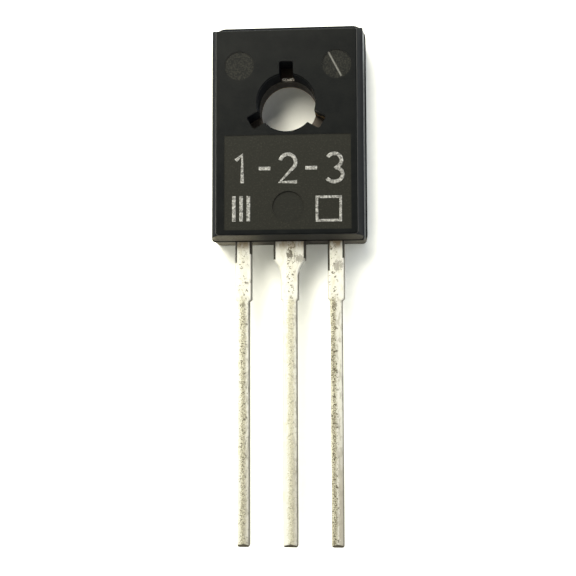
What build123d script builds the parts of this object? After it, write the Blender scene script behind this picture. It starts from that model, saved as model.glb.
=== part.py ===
from build123d import *
import os

# Power transistor in a flat moulded case with a screw hole and three leads.
# It lies on its back. The origin is on the axis of the screw hole, in the plane of the
# back face. +Z points out of the front face and the leads run along -Y. Millimetres.

os.makedirs("parts", exist_ok=True)

# Moulded case. Heights and edges are measured from the axis of the screw hole.
case_thickness = 2.7
parting_height = 1.7  # back face to the line where the two mould halves meet
face_width = 7.2
face_top = 3.8
face_bottom = 6.8
side_flare = 0.34  # how far each wall of the front half leans out by the parting line
top_flare = 0.33
bottom_flare = 0.24
left_ledge = 0.005  # how far the rear mould half stands out beyond the front half
right_ledge = 0.145
top_ledge = 0.11
bottom_setback = 0.03  # at the bottom the rear half stays inside the front half
rear_draft = 0.04
rear_top_corner_round = 0.72
rear_bottom_corner_round = 0.22
front_top_corner_round = 0.08
front_bottom_corner_round = 0.18
face_edge_round = 0.06
back_edge_round = 0.08

# Screw hole through case and plate, with three notches left by the pins that held the
# plate down in the mould
bore_radius = 1.5
bore_rim_chamfer = 0.05
notch_count = 3
notch_width = 0.72
notch_reach = 2.15  # hole axis to the outer end of a notch
notch_corner_round = 0.1

# Shallow forms in the front face
ejector_mark_radius = 0.75
ejector_mark_spacing = 5.0
ejector_mark_height = 1.95
ejector_mark_shift = 0.09  # the marks lie this far to the right of the hole axis
ejector_mark_depth = 0.03
lower_mark_radius = 0.81
lower_mark_drop = 5.4
lower_mark_depth = 0.08
pad_left = 3.18
pad_right = 3.29
pad_top = 1.68
pad_bottom = 6.56
pad_depth = 0.02

# Lead frame
lead_thickness = 0.5
lead_pitch = 2.39
lead_shift = 0.08  # the lead frame lies this far to the right of the hole axis
lead_length = 15.5  # body to tip
shoulder_length = 2.98
shoulder_width = 0.87
tail_width = 0.64
tip_corner_round = 0.12
tinned_edge_round = 0.1
post_head_width = 1.5
post_head_length = 0.75
post_depth = 1.8  # how far the outer leads reach into the case
post_corner_round = 0.15

# Middle lead, one piece with the heat-spreading plate
root_width = 1.67
root_length = 0.95
waist_width = 0.92
waist_drop = 0.87  # length of the hollow taper from root to waist
middle_tail_width = 0.76
plate_thickness = 1.3
plate_width = 5.2
plate_top = 3.2
plate_bottom = 4.9
plate_corner_round = 0.3
lock_flange = 0.25  # buried rim that keeps the plate in the moulding
lock_flange_height = 0.6
neck_run = 0.3
jog_run = 0.6

# Chip, its solder and the two bond wires
die_size = 1.5
die_thickness = 0.2
die_drop = 3.3
solder_thickness = 0.05
solder_margin = 0.08
emitter_wire_radius = 0.1
base_wire_radius = 0.075
bond_foot_length = 0.36
bond_foot_width = 0.28
bond_foot_thickness = 0.08
wire_loop_height = 0.45
wire_rise_run = 0.7
wire_bend_radius = 0.3
pad_offset = 0.4

# How closely a measured length has to agree to pick out an edge
tolerance = 0.001

# Worked out from the sizes above
lead_front = parting_height
lead_back = lead_front - lead_thickness
rim_left = face_width / 2 + side_flare
rim_top = face_top + top_flare
rim_bottom = face_bottom + bottom_flare
lead_tip = rim_bottom + lead_length
shoulder_end = rim_bottom + shoulder_length
post_end = rim_bottom - post_depth
plate_front_thin = plate_thickness - lead_thickness
die_bottom = plate_thickness + solder_thickness
die_top = die_bottom + die_thickness


def box_sketch(left, right, bottom, top, corner=0):
    """Rectangle given by its four edges, with round corners if asked for."""
    with Locations(((left + right) / 2, (bottom + top) / 2)):
        if corner:
            RectangleRounded(right - left, top - bottom, corner)
        else:
            Rectangle(right - left, top - bottom)


def round_tinned_edges(lead):
    """Rounds the edges of the stretch outside the case, as its coat of tin does."""
    outside = lead.edges().filter_by(lambda edge: edge.center().Y < -rim_bottom - tolerance)
    level_edges = outside.filter_by(lambda edge: abs(edge.tangent_at(0).Z) < tolerance)
    fillet(level_edges, tinned_edge_round)


def outer_lead(name, x):
    """Stamped outer lead: tail, shoulder left by the cut tie bar, and the post for a bond wire."""
    half_shoulder, half_tail, half_head = shoulder_width / 2, tail_width / 2, post_head_width / 2
    with BuildPart() as lead:
        with BuildSketch(Plane((x, 0, lead_back))) as plan:
            with BuildLine():
                Polyline(
                    (0, -lead_tip),
                    (half_tail, -lead_tip),
                    (half_tail, -shoulder_end - half_shoulder + half_tail),
                    (half_shoulder, -shoulder_end),
                    (half_shoulder, -rim_bottom),
                    (0, -rim_bottom),
                )
                mirror(about=Plane.YZ)
            make_face()
            fillet(plan.vertices().group_by(Axis.Y)[0], tip_corner_round)
        extrude(amount=lead_thickness)
        round_tinned_edges(lead)
        with BuildSketch(Plane((x, 0, lead_back))) as post:
            box_sketch(-half_shoulder, half_shoulder, -rim_bottom, -post_end)
            box_sketch(-half_head, half_head, -post_end - post_head_length, -post_end)
            fillet(post.vertices().group_by(Axis.Y)[-1], post_corner_round)
        extrude(amount=lead_thickness)
    lead.part.label = name
    return lead


# Emitter and base leads, left and right of the middle one
emitter_lead = outer_lead("emitter_lead", lead_shift - lead_pitch)
base_lead = outer_lead("base_lead", lead_shift + lead_pitch)

# Collector lead: the middle lead and the thick copper plate under the chip, in one piece
with BuildPart() as collector_lead:
    with BuildSketch(Plane((lead_shift, 0, lead_back))) as middle_plan:
        with BuildLine():
            root_corner = (root_width / 2, -rim_bottom - root_length)
            waist_corner = (waist_width / 2, -rim_bottom - root_length - waist_drop)
            Polyline((0, -rim_bottom), (root_width / 2, -rim_bottom), root_corner)
            TangentArc(waist_corner, root_corner, tangent=(0, 1))
            Polyline(
                waist_corner,
                (waist_width / 2, -shoulder_end),
                (middle_tail_width / 2, -shoulder_end - (waist_width - middle_tail_width) / 2),
                (middle_tail_width / 2, -lead_tip),
                (0, -lead_tip),
            )
            mirror(about=Plane.YZ)
        make_face()
        fillet(middle_plan.vertices().group_by(Axis.Y)[0], tip_corner_round)
    extrude(amount=lead_thickness)
    round_tinned_edges(collector_lead)
    # The plate, with a buried rim that the moulding grips
    with BuildSketch():
        box_sketch(-plate_width / 2, plate_width / 2, -plate_bottom, plate_top, plate_corner_round)
    extrude(amount=plate_thickness)
    with BuildSketch(Plane.XY.offset(lock_flange_height)):
        box_sketch(
            -plate_width / 2 - lock_flange,
            plate_width / 2 + lock_flange,
            -plate_bottom,
            plate_top + lock_flange,
            plate_corner_round,
        )
    extrude(amount=plate_thickness - lock_flange_height)
    with BuildSketch(Plane.XY.offset(plate_thickness)):
        Circle(bore_radius)
    extrude(amount=-plate_thickness, mode=Mode.SUBTRACT)
    # The neck leaves the plate flush with its front and rises to the level of the leads
    with BuildSketch(Plane.YZ.offset(lead_shift)):
        with BuildLine():
            Polyline(
                (-plate_bottom, plate_front_thin),
                (-plate_bottom - neck_run, plate_front_thin),
                (-plate_bottom - neck_run - jog_run, lead_back),
                (-rim_bottom, lead_back),
                (-rim_bottom, lead_front),
                (-plate_bottom - neck_run - jog_run, lead_front),
                (-plate_bottom - neck_run, plate_thickness),
                (-plate_bottom, plate_thickness),
                close=True,
            )
        make_face()
    extrude(amount=root_width / 2, both=True)
collector_lead.part.label = "collector_lead"

# Silicon chip and the solder that holds it to the plate
with BuildPart() as die_solder:
    with BuildSketch(Plane((0, -die_drop, plate_thickness))):
        Rectangle(die_size + 2 * solder_margin, die_size + 2 * solder_margin)
    extrude(amount=solder_thickness)
die_solder.part.label = "die_solder"

with BuildPart() as silicon_die:
    with BuildSketch(Plane((0, -die_drop, die_bottom))):
        Rectangle(die_size, die_size)
    extrude(amount=die_thickness)
silicon_die.part.label = "silicon_die"


def bond_wire(name, start, end, radius):
    """Aluminium wire with a flattened foot on the chip and one on the bond post."""
    run = Vector(*end) - Vector(*start)
    span = Vector(run.X, run.Y, 0).length
    along = Vector(run.X, run.Y, 0).normalized()
    with BuildPart() as wire:
        for foot in (start, end):
            with BuildSketch(Plane(foot, x_dir=along, z_dir=(0, 0, 1))):
                Rectangle(bond_foot_length, bond_foot_width)
            extrude(amount=bond_foot_thickness)
        with BuildLine(Plane(start, x_dir=along, z_dir=along.cross(Vector(0, 0, 1)))) as path:
            FilletPolyline(
                (0, radius),
                (wire_rise_run, wire_loop_height),
                (span - wire_rise_run, wire_loop_height),
                (span, end[2] - start[2] + radius),
                radius=wire_bend_radius,
            )
        with BuildSketch(Plane(path.line @ 0, z_dir=path.line % 0)):
            Circle(radius)
        sweep(path=path.line)
    wire.part.label = name
    return wire


post_middle = -post_end - post_head_length / 2
emitter_bond_wire = bond_wire(
    "emitter_bond_wire",
    (-pad_offset, -die_drop - pad_offset, die_top),
    (lead_shift - lead_pitch, post_middle, lead_front),
    emitter_wire_radius,
)
base_bond_wire = bond_wire(
    "base_bond_wire",
    (pad_offset, -die_drop - pad_offset, die_top),
    (lead_shift + lead_pitch, post_middle, lead_front),
    base_wire_radius,
)

inserts = [
    collector_lead,
    emitter_lead,
    base_lead,
    die_solder,
    silicon_die,
    emitter_bond_wire,
    base_bond_wire,
]

# Case, moulded round all of the above
with BuildPart() as moulded_body:
    # Front half: its walls lean in from the parting line to the face
    with BuildSketch(Plane.XY.offset(parting_height)):
        box_sketch(-rim_left, rim_left, -rim_bottom, rim_top)
    with BuildSketch(Plane.XY.offset(case_thickness)):
        box_sketch(-face_width / 2, face_width / 2, -face_bottom, face_top)
    loft()
    standing_edges = moulded_body.edges().filter_by(lambda edge: abs(edge.tangent_at(0).Z) > 0.5)
    fillet(standing_edges.group_by(Axis.Y)[-1], front_top_corner_round)
    fillet(standing_edges.group_by(Axis.Y)[0], front_bottom_corner_round)
    fillet(moulded_body.faces().sort_by(Axis.Z)[-1].edges(), face_edge_round)
    # Rear half: a larger outline with round corners, so that a ledge shows at the parting line
    for height, draft in ((parting_height, 0), (0, rear_draft)):
        with BuildSketch(Plane.XY.offset(height)) as rear_outline:
            box_sketch(
                -rim_left - left_ledge + draft,
                rim_left + right_ledge - draft,
                -rim_bottom + bottom_setback,
                rim_top + top_ledge - draft,
            )
            fillet(rear_outline.vertices().group_by(Axis.Y)[-1], rear_top_corner_round)
            fillet(rear_outline.vertices().group_by(Axis.Y)[0], rear_bottom_corner_round)
    loft()
    fillet(moulded_body.faces().sort_by(Axis.Z)[0].edges(), back_edge_round)
    # Matte marking pad, a little sunk, and the marks of the ejector pins
    with BuildSketch(Plane.XY.offset(case_thickness)):
        box_sketch(-pad_left, pad_right, -pad_bottom, -pad_top)
    extrude(amount=-pad_depth, mode=Mode.SUBTRACT)
    with BuildSketch(Plane.XY.offset(case_thickness)):
        with Locations((ejector_mark_shift, ejector_mark_height)):
            with GridLocations(ejector_mark_spacing, 0, 2, 1):
                Circle(ejector_mark_radius)
    extrude(amount=-ejector_mark_depth, mode=Mode.SUBTRACT)
    with BuildSketch(Plane.XY.offset(case_thickness)):
        with Locations((ejector_mark_shift, -lower_mark_drop)):
            Circle(lower_mark_radius)
    extrude(amount=-lower_mark_depth, mode=Mode.SUBTRACT)
    # Screw hole and the three notches that reach down to the plate
    with Locations(Plane.XY.offset(case_thickness)):
        Hole(bore_radius, depth=case_thickness)
    bore_edges = moulded_body.edges().filter_by(
        lambda edge: edge.geom_type == GeomType.CIRCLE and abs(edge.radius - bore_radius) < tolerance
    )
    chamfer(bore_edges.sort_by(Axis.Z)[-1], bore_rim_chamfer)
    with BuildSketch(Plane.XY.offset(case_thickness)) as notches:
        with PolarLocations(notch_reach / 2, notch_count, start_angle=90):
            Rectangle(notch_reach, notch_width)
        outer_corners = notches.vertices().filter_by(
            lambda vertex: Vector(vertex.X, vertex.Y, 0).length > bore_radius
        )
        fillet(outer_corners, notch_corner_round)
    extrude(amount=-(case_thickness - plate_thickness), mode=Mode.SUBTRACT)
    for insert in inserts:
        add(insert.part, mode=Mode.SUBTRACT)
moulded_body.part.label = "moulded_body"

for piece in [moulded_body] + inserts:
    export_step(piece.part, f"parts/{piece.part.label}.step")
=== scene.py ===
import math
import bpy
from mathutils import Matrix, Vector


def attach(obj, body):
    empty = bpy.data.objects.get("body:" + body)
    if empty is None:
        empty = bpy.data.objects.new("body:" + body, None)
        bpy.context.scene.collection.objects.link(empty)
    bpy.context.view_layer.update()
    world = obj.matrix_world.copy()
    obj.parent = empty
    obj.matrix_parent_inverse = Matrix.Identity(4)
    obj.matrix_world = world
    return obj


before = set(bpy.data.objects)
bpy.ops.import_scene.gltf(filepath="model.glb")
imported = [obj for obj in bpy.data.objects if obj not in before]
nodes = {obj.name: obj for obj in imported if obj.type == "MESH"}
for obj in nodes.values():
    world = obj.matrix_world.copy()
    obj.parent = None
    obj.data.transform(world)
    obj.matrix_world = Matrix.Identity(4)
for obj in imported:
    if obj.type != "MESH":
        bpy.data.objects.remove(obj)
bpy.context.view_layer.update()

# Moulded body: the black case. Filled resin was moulded round the metal parts in two mould
# halves, which left the parting line, three ejector marks, a matte marking pad and the
# notches round the screw hole.
MM = 0.001

# Places in millimetres: across and along from the hole's axis, and up from the back face
face_height = 2.7
parting_height = 1.7
plate_front = 1.3
bore_radius = 1.5
rim_right, rim_bottom, rim_top = 3.94, -7.04, 4.13
face_bottom = -6.8
face_start, face_full = face_height - 0.12, face_height - 0.07
wall_start, wall_full = face_height - 0.05, face_height - 0.1
left_wall_start, left_wall_full = -3.5, -3.6
pad_left, pad_right, pad_bottom, pad_top, pad_depth = -3.18, 3.29, -6.56, -1.68, 0.02
left_mark, right_mark, lower_mark = (-2.41, 1.95), (2.59, 1.95), (0.09, -5.4)
mark_radius, lower_mark_radius = 0.75, 0.81
pad_edge, mark_edge, scratch_edge = 0.04, 0.05, 0.05
scratch_middle, scratch_length, scratch_width, scratch_turn = (2.505, 1.944), 1.42, 0.08, -0.476
sheen_left_start, sheen_left_full = -0.9, -2.4
sheen_right_start, sheen_right_full = 2.0, 3.6
seam_below, seam_above = 0.03, 0.17
ledge_below, ledge_above, ledge_inside, ledge_outside = 0.04, 0.05, 0.05, 0.065
burr_reach = 0.7
burr_right_start, burr_right_full = 0.9, 1.3
burr_top_start, burr_top_full = 1.1, 0.2

# Colours and finish of the resin
resin_black = (0.0026, 0.0032, 0.0036, 1)
resin_cloud = (0.0042, 0.0048, 0.0050, 1)
resin_wall_reflection = (0.0055, 0.0066, 0.0090, 1)
resin_pad = (0.0105, 0.0107, 0.0090, 1)
resin_grain = (0.034, 0.033, 0.027, 1)
resin_scratch = (0.125, 0.125, 0.118, 1)
resin_ledge_highlight = (0.24, 0.25, 0.26, 1)
resin_floor_sheen = (0.130, 0.120, 0.098, 1)
resin_burr = (0.150, 0.108, 0.062, 1)
resin_seam_shadow = (0.002, 0.002, 0.0015, 1)
resin_reflection = 0.05
face_roughness, pad_roughness, wall_roughness, left_wall_roughness = 0.33, 0.4, 0.7, 1.0
skin_roughness = 0.08
face_relief, mark_relief, pad_relief = 0.2, 0.3, 0.6
resin_bump = 0.016


def put(tree, value, socket):
    """Links a socket's value into another, or sets it where it is a plain value."""
    if isinstance(value, bpy.types.NodeSocket):
        tree.links.new(value, socket)
    else:
        socket.default_value = value


def add(tree, kind, inputs=None, **settings):
    """A shader node with its settings made and its named or numbered inputs put in."""
    made = tree.nodes.new(kind)
    for name, value in settings.items():
        setattr(made, name, value)
    for key, value in (inputs or {}).items():
        put(tree, value, made.inputs[key])
    return made


def maths(tree, operation, first, second=0.0):
    """The result of one arithmetic step on two values."""
    return add(tree, "ShaderNodeMath", {0: first, 1: second}, operation=operation).outputs[0]


def vector_maths(tree, operation, first, second=(0, 0, 0)):
    """The result of one arithmetic step on two vectors."""
    return add(tree, "ShaderNodeVectorMath", {0: first, 1: second}, operation=operation).outputs[0]


def plus(tree, value, other, share):
    """A value with a share of another added to it."""
    return maths(tree, "ADD", value, maths(tree, "MULTIPLY", other, share))


def both(tree, first, *others):
    """Several masks multiplied."""
    for other in others:
        first = maths(tree, "MULTIPLY", first, other)
    return first


def ramp(tree, value, low, high, start=0.0, end=1.0):
    """A value eased from start to end while the given one goes from low to high."""
    ends = {"Value": value, "From Min": low, "From Max": high, "To Min": start, "To Max": end}
    return add(tree, "ShaderNodeMapRange", ends, interpolation_type="SMOOTHSTEP").outputs[0]


def strip(tree, value, low, high, edge):
    """1 where the value lies between low and high, with soft edges."""
    rise = ramp(tree, value, low - edge / 2, low + edge / 2)
    return both(tree, rise, ramp(tree, value, high + edge / 2, high - edge / 2))


def blend(tree, factor, first, second):
    """Two colours mixed by a factor."""
    return add(tree, "ShaderNodeMix", {0: factor, 6: first, 7: second}, data_type="RGBA").outputs[2]


def level(tree, factor, first, second):
    """Two plain values mixed by a factor."""
    return add(tree, "ShaderNodeMix", {0: factor, 2: first, 3: second}).outputs[0]


def start_material(name):
    """A new material's tree, its Principled shader, and the piece's own place in millimetres."""
    material = bpy.data.materials.new(name)
    material.use_nodes = True
    tree = material.node_tree
    shader = tree.nodes["Principled BSDF"]
    place = add(tree, "ShaderNodeTexCoord").outputs["Object"]
    place = add(tree, "ShaderNodeVectorMath", {0: place, 3: 1 / MM}, operation="SCALE").outputs[0]
    return material, tree, shader, place


def finish_material(tree, shader, colour, roughness, height, depth):
    """Colour, roughness and a bump of that depth in millimetres put into the shader."""
    put(tree, colour, shader.inputs["Base Color"])
    put(tree, roughness, shader.inputs["Roughness"])
    bump = add(tree, "ShaderNodeBump", {"Height": height, "Distance": depth * MM, "Strength": 1.0})
    put(tree, bump.outputs["Normal"], shader.inputs["Normal"])


def clothe(piece, material):
    """The piece's only material."""
    piece.data.materials.clear()
    piece.data.materials.append(material)


def start_group(name, inputs, output):
    """A new node group with those inputs, given by name and default, and one plain output."""
    group = bpy.data.node_groups.new(name, "ShaderNodeTree")
    for label, default in inputs.items():
        kind = "NodeSocketVector" if isinstance(default, tuple) else "NodeSocketFloat"
        socket = group.interface.new_socket(label, in_out="INPUT", socket_type=kind)
        socket.default_value = default
    group.interface.new_socket(output, in_out="OUTPUT", socket_type="NodeSocketFloat")
    given = group.nodes.new("NodeGroupInput").outputs
    return group, given, group.nodes.new("NodeGroupOutput").inputs[output]


def use_group(tree, group, inputs):
    """The output of a node group placed in a tree, with its inputs put in."""
    made = tree.nodes.new("ShaderNodeGroup")
    made.node_tree = group
    for key, value in inputs.items():
        put(tree, value, made.inputs[key])
    return made.outputs[0]


# A round patch: 1 inside a circle in the plane of the face, 0 outside, with a soft edge
patch_inputs = {"Place": (0, 0, 0), "Centre": (0, 0, 0), "Radius": 1.0, "Edge": 0.05}
round_patch, given, result = start_group("round_patch", patch_inputs, "Mask")
flat = vector_maths(round_patch, "MULTIPLY", given["Place"], (1, 1, 0))
span = add(round_patch, "ShaderNodeVectorMath", {0: flat, 1: given["Centre"]}, operation="DISTANCE")
beyond = maths(round_patch, "SUBTRACT", span.outputs["Value"], given["Radius"])
beyond = maths(round_patch, "DIVIDE", beyond, given["Edge"])
put(round_patch, ramp(round_patch, beyond, 0.5, -0.5), result)

# A square patch: 1 inside a rectangle in the plane of the face, turned about its middle
patch_inputs = {"Place": (0, 0, 0), "Centre": (0, 0, 0), "Half Size": (1, 1, 1), "Turn": 0.0, "Edge": 0.05}
square_patch, given, result = start_group("square_patch", patch_inputs, "Mask")
turned = {"Vector": given["Place"], "Center": given["Centre"], "Angle": given["Turn"]}
turned = add(square_patch, "ShaderNodeVectorRotate", turned, rotation_type="Z_AXIS").outputs[0]
offset = vector_maths(square_patch, "SUBTRACT", turned, given["Centre"])
offset = vector_maths(square_patch, "ABSOLUTE", offset)
beyond = vector_maths(square_patch, "SUBTRACT", offset, given["Half Size"])
beyond = add(square_patch, "ShaderNodeSeparateXYZ", {0: beyond}).outputs
beyond = maths(square_patch, "MAXIMUM", beyond["X"], beyond["Y"])
beyond = maths(square_patch, "DIVIDE", beyond, given["Edge"])
put(square_patch, ramp(square_patch, beyond, 0.5, -0.5), result)

# Fine grain: noise about zero, as a rough moulded or sanded skin has
grain_inputs = {"Place": (0, 0, 0), "Grains per mm": 10.0}
fine_grain, given, result = start_group("fine_grain", grain_inputs, "Value")
noise = {"Vector": given["Place"], "Scale": given["Grains per mm"], "Detail": 3.0, "Roughness": 0.65}
noise = add(fine_grain, "ShaderNodeTexNoise", noise).outputs["Fac"]
put(fine_grain, maths(fine_grain, "SUBTRACT", noise, 0.5), result)

# Blotches: noise cut at a level, for dirt, bared metal and worn print
blotch_inputs = {"Place": (0, 0, 0), "Blotches per mm": 4.0, "Cover": 0.5, "Edge": 0.1}
blotches, given, result = start_group("blotches", blotch_inputs, "Mask")
noise = {"Vector": given["Place"], "Scale": given["Blotches per mm"], "Detail": 4.0, "Roughness": 0.6}
noise = add(blotches, "ShaderNodeTexNoise", noise).outputs["Fac"]
cut_start = maths(blotches, "SUBTRACT", 1.0, given["Cover"])
cut_end = maths(blotches, "ADD", cut_start, given["Edge"])
put(blotches, ramp(blotches, noise, cut_start, cut_end), result)


def grains(tree, place, per_mm):
    """Fine grain about zero, with that many grains to the millimetre."""
    return use_group(tree, fine_grain, {"Place": place, "Grains per mm": per_mm})


def spots(tree, place, per_mm, cover, edge):
    """Mask of blotches, that many to the millimetre. A higher cover makes them larger."""
    shape = {"Place": place, "Blotches per mm": per_mm, "Cover": cover, "Edge": edge}
    return use_group(tree, blotches, shape)


resin, tree, shader, place = start_material("moulding_compound")
axes = add(tree, "ShaderNodeSeparateXYZ", {0: place}).outputs
on_face = ramp(tree, axes["Z"], face_start, face_full)
wall = ramp(tree, axes["Z"], wall_start, wall_full)


def disc(centre, radius):
    """Mask of a round mark on the case's face."""
    shape = {"Place": place, "Centre": (*centre, 0), "Radius": radius, "Edge": mark_edge}
    return both(tree, use_group(tree, round_patch, shape), on_face)


def field(centre, width, height, edge, turn=0.0):
    """Mask of a rectangle on the case's face."""
    half_size = (width / 2, height / 2, 1)
    shape = {"Place": place, "Centre": (*centre, 0), "Half Size": half_size, "Turn": turn, "Edge": edge}
    return both(tree, use_group(tree, square_patch, shape), on_face)


skin = grains(tree, place, 9.0)
grain = grains(tree, place, 13.0)
cloudy = grains(tree, place, 1.2)
pad_middle = ((pad_left + pad_right) / 2, (pad_bottom + pad_top) / 2)
pad = field(pad_middle, pad_right - pad_left, pad_top - pad_bottom, pad_edge)
marks = maths(tree, "MAXIMUM", disc(left_mark, mark_radius), disc(right_mark, mark_radius))
sunken = disc(lower_mark, lower_mark_radius)

colour = blend(tree, ramp(tree, cloudy, -0.2, 0.2), resin_black, resin_cloud)
# The walls are painted lighter and bluer than the face: a painted reflection of the paper beside the case
colour = blend(tree, wall, colour, resin_wall_reflection)
colour = blend(tree, pad, colour, resin_pad)
pad_grains = both(tree, pad, ramp(tree, grain, 0.02, 0.2, end=0.35))
colour = blend(tree, pad_grains, colour, resin_grain)
mark_grains = both(tree, marks, ramp(tree, grain, -0.1, 0.16, start=0.04, end=0.42))
colour = blend(tree, mark_grains, colour, resin_grain)
scratch = field(scratch_middle, scratch_width, scratch_length, scratch_edge, scratch_turn)
scratch = both(tree, scratch, ramp(tree, skin, -0.2, 0.1, start=0.45, end=0.85))
colour = blend(tree, scratch, colour, resin_scratch)

# The bottom wall gets a painted reflection of the white floor, strongest at its left end, and the parting
# line above the leads a painted shadow under the front half's rim
low_wall = both(tree, ramp(tree, axes["Y"], face_bottom, face_bottom - 0.05), wall)
sheen_left = ramp(tree, axes["X"], sheen_left_start, sheen_left_full, start=0.2, end=0.9)
sheen_right = ramp(tree, axes["X"], sheen_right_start, sheen_right_full, end=0.25)
floor_sheen = maths(tree, "ADD", sheen_left, sheen_right)
floor_sheen = both(tree, floor_sheen, low_wall, ramp(tree, skin, -0.25, 0.15, start=0.7))
# The rear half below the parting line gets half as much again of the painted reflection
rear_half = ramp(tree, axes["Z"], parting_height, parting_height - 0.05, start=1.0, end=1.5)
colour = blend(tree, both(tree, floor_sheen, rear_half), colour, resin_floor_sheen)
# Painted shadow along the parting line, under the overhanging rim of the front half
seam = strip(tree, axes["Z"], parting_height - seam_below, parting_height + seam_above, 0.06)
colour = blend(tree, both(tree, low_wall, seam), colour, resin_seam_shadow)

# The ledge at the right of the parting line gets a painted highlight along its inner part, brightest
# towards the top: a painted reflection of the paper
ledge_level = strip(tree, axes["Z"], parting_height - ledge_below, parting_height + ledge_above, 0.02)
ledge_width = strip(tree, axes["X"], rim_right - ledge_inside, rim_right + ledge_outside, 0.03)
ledge_highlight = both(tree, ledge_level, ledge_width)
ledge_highlight = both(tree, ledge_highlight, ramp(tree, axes["Y"], 1.0, rim_top - 0.4, start=0.45))
ledge_highlight = both(tree, ledge_highlight, ramp(tree, skin, -0.3, 0.1, start=0.6))
colour = blend(tree, ledge_highlight, colour, resin_ledge_highlight)

# Brown burrs of torn copper and resin in the right side of the screw hole
near_bore = {"Place": place, "Centre": (0, 0, 0), "Radius": bore_radius + burr_reach, "Edge": 0.05}
near_bore = use_group(tree, round_patch, near_bore)
deep = ramp(tree, axes["Z"], face_height - 0.25, face_height - 0.6)
torn = spots(tree, place, 3.5, cover=0.5, edge=0.12)
right_side = ramp(tree, axes["X"], burr_right_start, burr_right_full)
lower_side = ramp(tree, axes["Y"], burr_top_start, burr_top_full)
colour = blend(tree, both(tree, near_bore, deep, torn, right_side, lower_side), colour, resin_burr)

shader.inputs["Specular IOR Level"].default_value = resin_reflection
left_wall = both(tree, wall, ramp(tree, axes["X"], left_wall_start, left_wall_full))
walls = level(tree, left_wall, wall_roughness, left_wall_roughness)
roughness = level(tree, on_face, walls, face_roughness)
roughness = level(tree, maths(tree, "MAXIMUM", pad, marks), roughness, pad_roughness)
roughness = plus(tree, roughness, skin, skin_roughness)
relief = level(tree, marks, face_relief, mark_relief)
relief = level(tree, maths(tree, "MAXIMUM", pad, sunken), relief, pad_relief)
finish_material(tree, shader, colour, roughness, both(tree, grain, relief), resin_bump)
clothe(nodes["moulded_body"], resin)

# Leads: three legs stamped from copper strip and dipped in tin, which ran to rounded edges
# and has dulled in bands. The middle one is one piece with the plate under the chip, which is
# bare in the case and brushed clean at its back. Stains: across, along, radius and darkness.
tin_bright = (0.50, 0.50, 0.475, 1)
tin_cream = (0.38, 0.37, 0.285, 1)
tin_pale = (0.275, 0.27, 0.24, 1)
tin_dull = (0.105, 0.092, 0.060, 1)
tin_stain_and_shade = (0.040, 0.032, 0.018, 1)
tin_tan_and_shade = (0.20, 0.15, 0.09, 1)
tin_edge = (0.004, 0.003, 0.002, 1)
tin_grey = (0.070, 0.062, 0.046, 1)
tin_tip = (0.20, 0.185, 0.155, 1)
sheared_copper = (0.035, 0.030, 0.022, 1)
bare_copper = (0.020, 0.0135, 0.0085, 1)
copper_glint = (0.95, 0.90, 0.84, 1)
plate_bright = (0.43, 0.34, 0.26, 1)
plate_dull = (0.28, 0.21, 0.15, 1)
tin_metal, plate_metal = 0.35, 0.9
tin_roughness, plate_roughness, streak_roughness = 0.5, 0.36, 0.4
tin_bump = 0.012

shoulder_end, shoulder_slope = -10.02, 0.12
root_end, waist_start = -7.99, -8.86
lead_tip = -22.54
grey_start, grey_full = -15.5, -20.5
streak_stretch, brush_stretch = (1, 0.35, 1), (1, 0.04, 1)
side_edge, stain_edge = 0.05, 0.12
bled_width, dull_and_shaded_edge_width = 0.12, 0.075
plate_skin = 0.08
glint_middle, glint_half_size, glint_edge = (0.05, 1.57, 0), (0.36, 0.07, 1), 0.06
leads = {
    "emitter_lead": {
        "axis": -2.31, "tail": 0.32, "shoulder": 0.435, "root": 0.435,
        "band": 0.02, "dulled": 0.75, "grey_tip": 0.3, "brown_and_shade": 0.4, "bleed": (-8.1, -7.65),
        "stains": [(0.05, -10.3, 0.13, 0.6), (0.33, -9.1, 0.06, 0.8)],
    },
    "collector_lead": {
        "axis": 0.08, "tail": 0.38, "shoulder": 0.46, "root": 0.835,
        "band": 0.10, "dulled": 0.35, "grey_tip": 0.35, "brown_and_shade": 0.3, "bleed": (-7.95, -7.9),
        "stains": [
            (0.06, -7.74, 0.21, 0.9), (0.52, -7.95, 0.2, 0.6),
            (0.1, -12.57, 0.06, 0.9), (0.1, -9.4, 0.08, 0.6),
        ],
    },
    "base_lead": {
        "axis": 2.47, "tail": 0.32, "shoulder": 0.435, "root": 0.435,
        "band": -0.14, "dulled": 1.0, "grey_tip": 0.8, "brown_and_shade": 0.5, "bleed": (-8.55, -7.9),
        "stains": [(0.06, -8.35, 0.27, 0.6), (-0.12, -7.35, 0.06, 0.9), (-0.1, -10.4, 0.13, 0.6)],
    },
}

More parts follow.
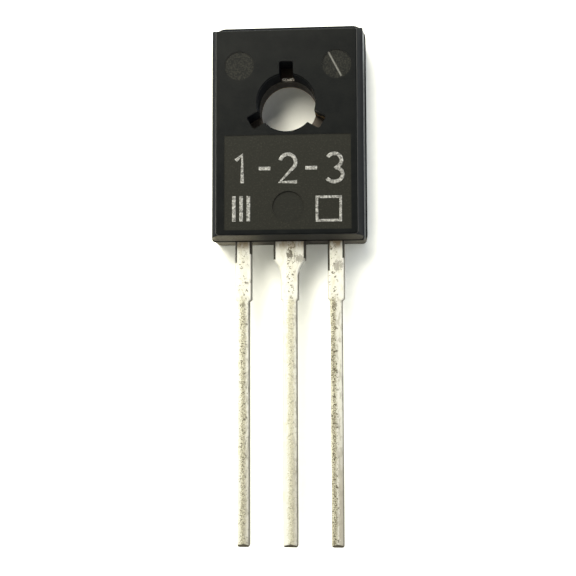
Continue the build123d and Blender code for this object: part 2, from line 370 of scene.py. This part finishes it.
for name, lead in leads.items():
    tinned, tree, shader, place = start_material(f"{name}_tin")
    axes = add(tree, "ShaderNodeSeparateXYZ", {0: place}).outputs
    across = maths(tree, "SUBTRACT", axes["X"], lead["axis"])
    stretched = vector_maths(tree, "MULTIPLY", place, streak_stretch)
    streaks = grains(tree, stretched, 5.0)
    fine = grains(tree, place, 16.0)
    mottle = spots(tree, stretched, 6.0, cover=0.5, edge=0.1)
    specks = spots(tree, place, 8.0, cover=0.44, edge=0.05)

    # Half the lead's width at each place, and how far a place lies from the side edge
    shoulder_foot = shoulder_end - shoulder_slope
    half_width = ramp(tree, axes["Y"], shoulder_foot, shoulder_end, lead["tail"], lead["shoulder"])
    wider = ramp(tree, axes["Y"], waist_start, root_end, end=lead["root"] - lead["shoulder"])
    half_width = maths(tree, "ADD", half_width, wider)
    off_axis = maths(tree, "ABSOLUTE", across)
    from_edge = maths(tree, "SUBTRACT", half_width, off_axis)

    # White tin at the left, cream beside the ragged dull band, greyer tin at its right
    frayed = plus(tree, plus(tree, across, fine, 0.5), streaks, 0.3)
    from_band = maths(tree, "SUBTRACT", frayed, lead["band"])
    below = ramp(tree, axes["Y"], shoulder_end + 0.3, shoulder_end - 0.2)
    colour = blend(tree, ramp(tree, streaks, -0.05, 0.25, end=0.6), tin_bright, tin_cream)
    creamy = both(tree, strip(tree, from_band, -0.22, 0.1, 0.16), level(tree, below, 0.25, 0.9))
    colour = blend(tree, creamy, colour, tin_cream)
    greyer = both(tree, ramp(tree, from_band, 0.0, 0.12), level(tree, mottle, 0.4, 0.95))
    colour = blend(tree, both(tree, greyer, level(tree, below, 0.4, 1.0)), colour, tin_pale)
    speckled = ramp(tree, fine, -0.10, 0.06, start=0.3)
    dulled = both(tree, strip(tree, from_band, -0.1, 0.1, 0.1), speckled)
    dulled = both(tree, dulled, level(tree, below, 0.12, lead["dulled"]))
    colour = blend(tree, dulled, colour, tin_dull)
    speckled_band = both(tree, strip(tree, from_band, -0.2, 0.22, 0.16), specks)
    speckled_band = both(tree, speckled_band, level(tree, below, 0.9, lead["dulled"]))
    colour = blend(tree, speckled_band, colour, tin_stain_and_shade)
    toward_tip = both(tree, ramp(tree, axes["Y"], grey_start, grey_full), ramp(tree, frayed, 0.0, 0.1))
    colour = blend(tree, both(tree, toward_tip, lead["grey_tip"]), colour, tin_tip)

    # Tan beside the case, a brown tint that also carries painted shade from the case, and this lead's own
    # stains with wandering outlines
    tan_and_shade = ramp(tree, axes["Y"], rim_bottom - 0.55, rim_bottom - 0.1, end=lead["brown_and_shade"] + 0.4)
    colour = blend(tree, both(tree, tan_and_shade, ramp(tree, streaks, -0.25, 0.05)), colour, tin_tan_and_shade)
    wander = {"X": maths(tree, "MULTIPLY", streaks, 0.9), "Y": maths(tree, "MULTIPLY", fine, 0.8)}
    wander = add(tree, "ShaderNodeCombineXYZ", wander).outputs[0]
    wandering = vector_maths(tree, "ADD", place, wander)
    for stain_across, stain_along, stain_radius, darkness in lead["stains"]:
        centre = (lead["axis"] + stain_across, stain_along, 0)
        shape = {"Place": wandering, "Centre": centre, "Radius": stain_radius, "Edge": stain_edge}
        stain = use_group(tree, round_patch, shape)
        colour = blend(tree, both(tree, stain, darkness), colour, tin_grey)

    # Resin that bled along the sides near the case, and a thin dull line along the edges that is partly
    # painted shade, strongest at the right, where the sides lie in shadow
    uneven = plus(tree, from_edge, streaks, 0.05)
    bled_sides = []
    for side, bleed_end in zip((-1, 1), lead["bleed"]):
        on_side = ramp(tree, across, 0.0, side * side_edge)
        bled_sides.append(both(tree, on_side, ramp(tree, axes["Y"], bleed_end - 0.05, bleed_end)))
    at_edge = ramp(tree, uneven, bled_width, bled_width - 0.02)
    bled = both(tree, maths(tree, "ADD", *bled_sides), at_edge)
    colour = blend(tree, bled, colour, tin_edge)
    more_at_right = ramp(tree, across, 0.0, side_edge, start=0.25, end=0.75)
    dull_and_shaded_edge = both(tree, more_at_right, ramp(tree, uneven, dull_and_shaded_edge_width, 0.03))
    colour = blend(tree, dull_and_shaded_edge, colour, tin_stain_and_shade)
    from_tip = plus(tree, axes["Y"], off_axis, 0.25)
    sheared = ramp(tree, from_tip, lead_tip + 0.19, lead_tip + 0.16)
    colour = blend(tree, sheared, colour, sheared_copper)

    # Inside the case the metal is bare and dark
    exposed = ramp(tree, axes["Y"], rim_bottom + 0.05, rim_bottom - 0.02)
    colour = blend(tree, exposed, bare_copper, colour)

    # The plate's back face is clean brushed metal, since it lies flush in the case's back
    brushed = grains(tree, vector_maths(tree, "MULTIPLY", place, brush_stretch), 14.0)
    back = both(tree, ramp(tree, axes["Z"], plate_skin + 0.06, plate_skin), ramp(tree, exposed, 1.0, 0.0))
    plate = blend(tree, ramp(tree, brushed, -0.15, 0.15), plate_dull, plate_bright)
    colour = blend(tree, back, colour, plate)
    put(tree, level(tree, back, tin_metal, plate_metal), shader.inputs["Metallic"])

    # A painted glint on the bright broken edge under the top notch
    glint = {"Place": place, "Centre": glint_middle, "Half Size": glint_half_size, "Edge": glint_edge}
    glint = both(tree, use_group(tree, square_patch, glint), ramp(tree, fine, -0.04, 0.05))
    glint = both(tree, glint, ramp(tree, axes["Z"], plate_front - 0.3, plate_front - 0.2))
    colour = blend(tree, glint, colour, copper_glint)

    roughness = plus(tree, level(tree, back, tin_roughness, plate_roughness), streaks, streak_roughness)
    finish_material(tree, shader, colour, roughness, maths(tree, "ADD", streaks, fine), tin_bump)
    clothe(nodes[name], tinned)

# Chip, its solder and its two bond wires: sealed in the case, silicon on soft solder with
# drawn aluminium wires pressed flat at both ends. Each is given as colour, roughness, metal.
inner_finishes = {
    "silicon_die": ((0.10, 0.11, 0.14), 0.15, 0.2),
    "die_solder": ((0.52, 0.52, 0.53), 0.35, 1.0),
    "emitter_bond_wire": ((0.80, 0.80, 0.81), 0.3, 1.0),
    "base_bond_wire": ((0.80, 0.80, 0.81), 0.3, 1.0),
}
inner_shade = 0.7
inner_bump = 0.002
for name, (base, smoothness, metal) in inner_finishes.items():
    inner, tree, shader, place = start_material(f"{name}_finish")
    mottle = grains(tree, place, 12.0)
    darker = (*(inner_shade * part for part in base), 1)
    shader.inputs["Metallic"].default_value = metal
    colour = blend(tree, ramp(tree, mottle, -0.2, 0.2), darker, (*base, 1))
    finish_material(tree, shader, colour, plus(tree, smoothness, mottle, 0.2), mottle, inner_bump)
    clothe(nodes[name], inner)

# Marking: silver ink printed on the pad, thin and broken where the grain shows through. The
# lead numbers stand in one row with dashes, and three bars and a square beside the lower mark.
ink_level = face_height - pad_depth + 0.002
ink_thickness, stroke_width = 0.004, 0.19
ink_silver = (0.075, 0.075, 0.073, 1)
ink_pale = (0.24, 0.24, 0.235, 1)
ink_roughness, ink_bump = 0.6, 0.01
number_foot, sign_foot = -4.15, -6.12
dash_middles, dash_lift, half_dash = {"left_dash": -1.11, "right_dash": 1.27}, 0.73, 0.3
bar_middles, bar_height = (-2.68, -2.31, -1.94), 1.3
square_middle, half_square, square_height = 2.15, 0.6, 1.2
arc_steps = 14

ink, tree, shader, place = start_material("marking_ink")
dots = grains(tree, place, 9.0)
gaps = spots(tree, place, 6.0, cover=0.46, edge=0.06)
colour = blend(tree, ramp(tree, dots, -0.1, 0.15), ink_silver, ink_pale)
colour = blend(tree, both(tree, gaps, 0.75), colour, resin_pad)
finish_material(tree, shader, colour, plus(tree, ink_roughness, dots, 0.3), dots, ink_bump)


def stroke(name, foot, corners, closed=False):
    """A sign printed as one stroke through the corners, which are measured from its foot."""
    bpy.ops.object.select_all(action="DESELECT")
    bpy.ops.curve.primitive_nurbs_path_add()
    sign = bpy.context.object
    sign.name = name
    sign.data.splines.clear()
    path = sign.data.splines.new("POLY")
    path.points.add(len(corners) - 1)
    for point, (corner_x, corner_y) in zip(path.points, corners):
        point.co = (corner_x, corner_y, 0, 1)
    path.use_cyclic_u = closed
    sign.data.bevel_depth = stroke_width / 2
    sign.data.bevel_resolution = 3
    sign.data.use_fill_caps = True
    sign.location = (foot[0] * MM, foot[1] * MM, ink_level * MM)
    sign.scale = (MM, MM, MM * ink_thickness / stroke_width)
    bpy.ops.object.convert(target="MESH")
    bpy.ops.object.transform_apply(location=True, rotation=True, scale=True)
    clothe(sign, ink)
    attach(sign, "root")


def arc(centre, half_width, half_height, start, stop):
    """Corners along an arc, from a start to a stop angle in degrees."""
    turns = [start + (stop - start) * step / arc_steps for step in range(arc_steps + 1)]
    angles = [math.radians(turn) for turn in turns]
    across, along = centre
    return [(across + half_width * math.cos(a), along + half_height * math.sin(a)) for a in angles]


numerals = [
    [(-0.27, 1.17), (0.05, 1.45), (0.05, 0.0)],
    arc((0, 1.04), 0.40, 0.41, 165, -32) + [(-0.42, 0.02), (0.46, 0.02)],
    arc((-0.03, 1.09), 0.37, 0.36, 150, -80) + arc((-0.03, 0.37), 0.43, 0.37, 80, -150),
]
for number, (lead, corners) in enumerate(zip(leads.values(), numerals), start=1):
    stroke(f"lead_number_{number}", (lead["axis"], number_foot), corners)
for name, dash_middle in dash_middles.items():
    stroke(name, (dash_middle, number_foot + dash_lift), [(-half_dash, 0), (half_dash, 0)])
for position, bar_middle in enumerate(bar_middles, start=1):
    stroke(f"left_bar_{position}", (bar_middle, sign_foot), [(0, 0), (0, bar_height)])
square_foot = [(-half_square, 0), (half_square, 0)]
square_head = [(half_square, square_height), (-half_square, square_height)]
stroke("right_square", (square_middle, sign_foot), square_foot + square_head, closed=True)

# Table, light and camera: white paper in a bright room, seen from above. The room is dim
# right overhead and brightest beyond the case's top end, a little to the left, where a soft
# warm lamp stands as well.
table_size = 1.2
paper_shade, paper_light = (0.88, 0.89, 0.87, 1), (0.91, 0.92, 0.90, 1)
ceiling_direction, window_direction, cool_direction = (-0.12, 0.34, 0.93), (-0.3, 0.954, 0), (0.8, 0.6, 0)
sky_warm, sky_cool = (1.0, 0.965, 0.80, 1), (0.95, 1.0, 1.05, 1)
lamp_direction, lamp_distance, lamp_size, lamp_power = (-0.44, 0.80, 1.0), 0.25, 0.19, 1.7
lamp_tint = (1.0, 0.96, 0.82)
camera_place = (4.274, -14.388, 57.703)
camera_turn = (5.013, 4.388, -0.189)

bpy.ops.object.select_all(action="DESELECT")
bpy.ops.mesh.primitive_plane_add(size=table_size, location=(0, 0, 0))
table = bpy.context.object
table.name = "table"
paper, tree, shader, place = start_material("white_paper")
fibres = grains(tree, place, 2.0)
put(tree, blend(tree, ramp(tree, fibres, -0.3, 0.3), paper_shade, paper_light), shader.inputs["Base Color"])
shader.inputs["Roughness"].default_value = 0.9
shader.inputs["Specular IOR Level"].default_value = 0.1
clothe(table, paper)

world = bpy.data.worlds.new("studio")
bpy.context.scene.world = world
world.use_nodes = True
tree = world.node_tree
sky = add(tree, "ShaderNodeTexCoord").outputs["Generated"]


def toward(direction):
    """How far the sky's direction leans toward the given one, from -1 to 1."""
    lean = add(tree, "ShaderNodeVectorMath", {0: sky, 1: direction}, operation="DOT_PRODUCT")
    return lean.outputs["Value"]


ceiling = ramp(tree, toward(ceiling_direction), 0.55, 0.86, start=1.0, end=0.03)
window = ramp(tree, toward(window_direction), -1.0, 1.0, start=0.55, end=4.0)
coolness = ramp(tree, toward(cool_direction), -1.0, 1.0)
background = tree.nodes["Background"]
put(tree, both(tree, ceiling, window), background.inputs["Strength"])
put(tree, blend(tree, coolness, sky_warm, sky_cool), background.inputs["Color"])

light = bpy.data.lights.new("key_lamp", "AREA")
light.size = lamp_size
light.energy = lamp_power
light.color = lamp_tint
key_lamp = bpy.data.objects.new("key_lamp", light)
bpy.context.scene.collection.objects.link(key_lamp)
aim = Vector(lamp_direction).normalized()
key_lamp.location = aim * lamp_distance
key_lamp.rotation_euler = aim.to_track_quat("Z", "Y").to_euler()

camera_data = bpy.data.cameras.new("camera")
camera_data.sensor_width = 36.0
camera_data.lens = 68.75
camera_data.clip_start = 0.002
camera_data.clip_end = 10.0
camera = bpy.data.objects.new("camera", camera_data)
camera.location = [part * MM for part in camera_place]
camera.rotation_euler = [math.radians(angle) for angle in camera_turn]
bpy.context.scene.collection.objects.link(camera)
bpy.context.scene.camera = camera
bpy.context.scene.view_settings.view_transform = "Standard"
